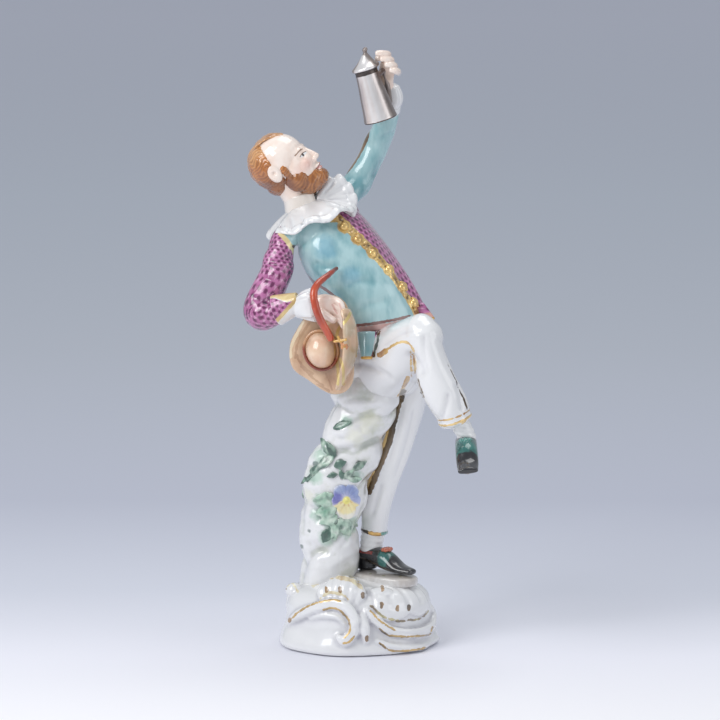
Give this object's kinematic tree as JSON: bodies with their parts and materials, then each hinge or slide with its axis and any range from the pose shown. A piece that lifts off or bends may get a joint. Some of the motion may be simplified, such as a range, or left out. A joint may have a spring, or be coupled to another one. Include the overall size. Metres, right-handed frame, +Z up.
{
  "type": "porcelain theatre figurine",
  "caption": "Porcelain figurine of a comedy dancer on one leg, leaning on a flowered tree stump on a scrolled base, with a raised lidded tankard and a lowered plumed hat.",
  "frame": {"origin": "middle of the base's flat underside", "axes": "+Z up, -Y the way the raised foot points and the side that the figure is seen from, +X towards the chest's front and the raised leg"},
  "size_m": [0.0776, 0.072, 0.2],
  "materials": {
    "glazed_porcelain": "white hard-paste porcelain under a clear gloss glaze, painted in coloured enamels and gold"
  },
  "bodies": {
    "root": {"figurine": "glazed_porcelain"}
  },
  "joints": []
}
